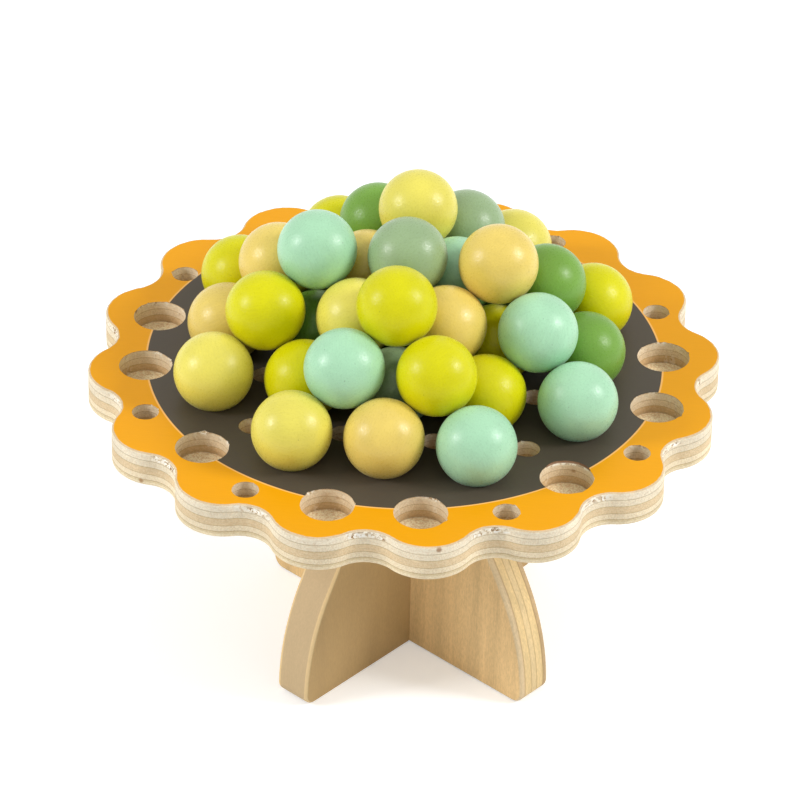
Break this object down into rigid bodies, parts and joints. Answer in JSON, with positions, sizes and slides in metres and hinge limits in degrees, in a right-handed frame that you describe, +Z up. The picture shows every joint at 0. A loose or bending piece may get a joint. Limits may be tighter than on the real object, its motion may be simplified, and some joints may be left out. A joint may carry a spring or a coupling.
{
  "type": "wooden balance game",
  "caption": "Scalloped round board on a crossed plywood stand, with blind pockets that carry a stepped pile of coloured wooden balls.",
  "frame": {"origin": "on the surface that the stand rests on, below the centre of the board", "axes": "+Z up, +X along the rows of balls to the right, +Y along the columns of balls, away from the front"},
  "size_m": [0.1968, 0.1968, 0.1557],
  "materials": {
    "lime_paint": "satin paint over turned wood",
    "pale_yellow_paint": "satin paint over turned wood",
    "peach_paint": "satin paint over turned wood",
    "mint_paint": "satin paint over turned wood",
    "sage_paint": "satin paint over turned wood",
    "green_paint": "satin paint over turned wood",
    "painted_plywood": "satin orange paint and a dark round print on the face, bare ply edges",
    "stand_plywood": "bare sanded plywood"
  },
  "bodies": {
    "root": {"board": "painted_plywood", "stand_panel_lower": "stand_plywood", "stand_panel_upper": "stand_plywood", "ball_low_12": "pale_yellow_paint", "ball_low_13": "peach_paint", "ball_low_14": "mint_paint", "ball_low_21": "pale_yellow_paint", "ball_low_22": "lime_paint", "ball_low_23": "sage_paint", "ball_low_24": "lime_paint", "ball_low_25": "mint_paint", "ball_low_31": "peach_paint", "ball_low_32": "green_paint", "ball_low_33": "green_paint", "ball_low_34": "lime_paint", "ball_low_35": "green_paint", "ball_low_41": "lime_paint", "ball_low_42": "sage_paint", "ball_low_43": "pale_yellow_paint", "ball_low_44": "sage_paint", "ball_low_45": "lime_paint", "ball_low_52": "lime_paint", "ball_low_53": "green_paint", "ball_low_54": "pale_yellow_paint", "ball_middle_12": "mint_paint", "ball_middle_13": "lime_paint", "ball_middle_21": "lime_paint", "ball_middle_22": "pale_yellow_paint", "ball_middle_23": "peach_paint", "ball_middle_24": "mint_paint", "ball_middle_31": "peach_paint", "ball_middle_32": "peach_paint", "ball_middle_33": "mint_paint", "ball_middle_34": "green_paint", "ball_middle_42": "green_paint", "ball_middle_43": "sage_paint", "ball_top_12": "lime_paint", "ball_top_21": "mint_paint", "ball_top_22": "sage_paint", "ball_top_23": "peach_paint", "ball_top_32": "pale_yellow_paint"}
  },
  "joints": []
}
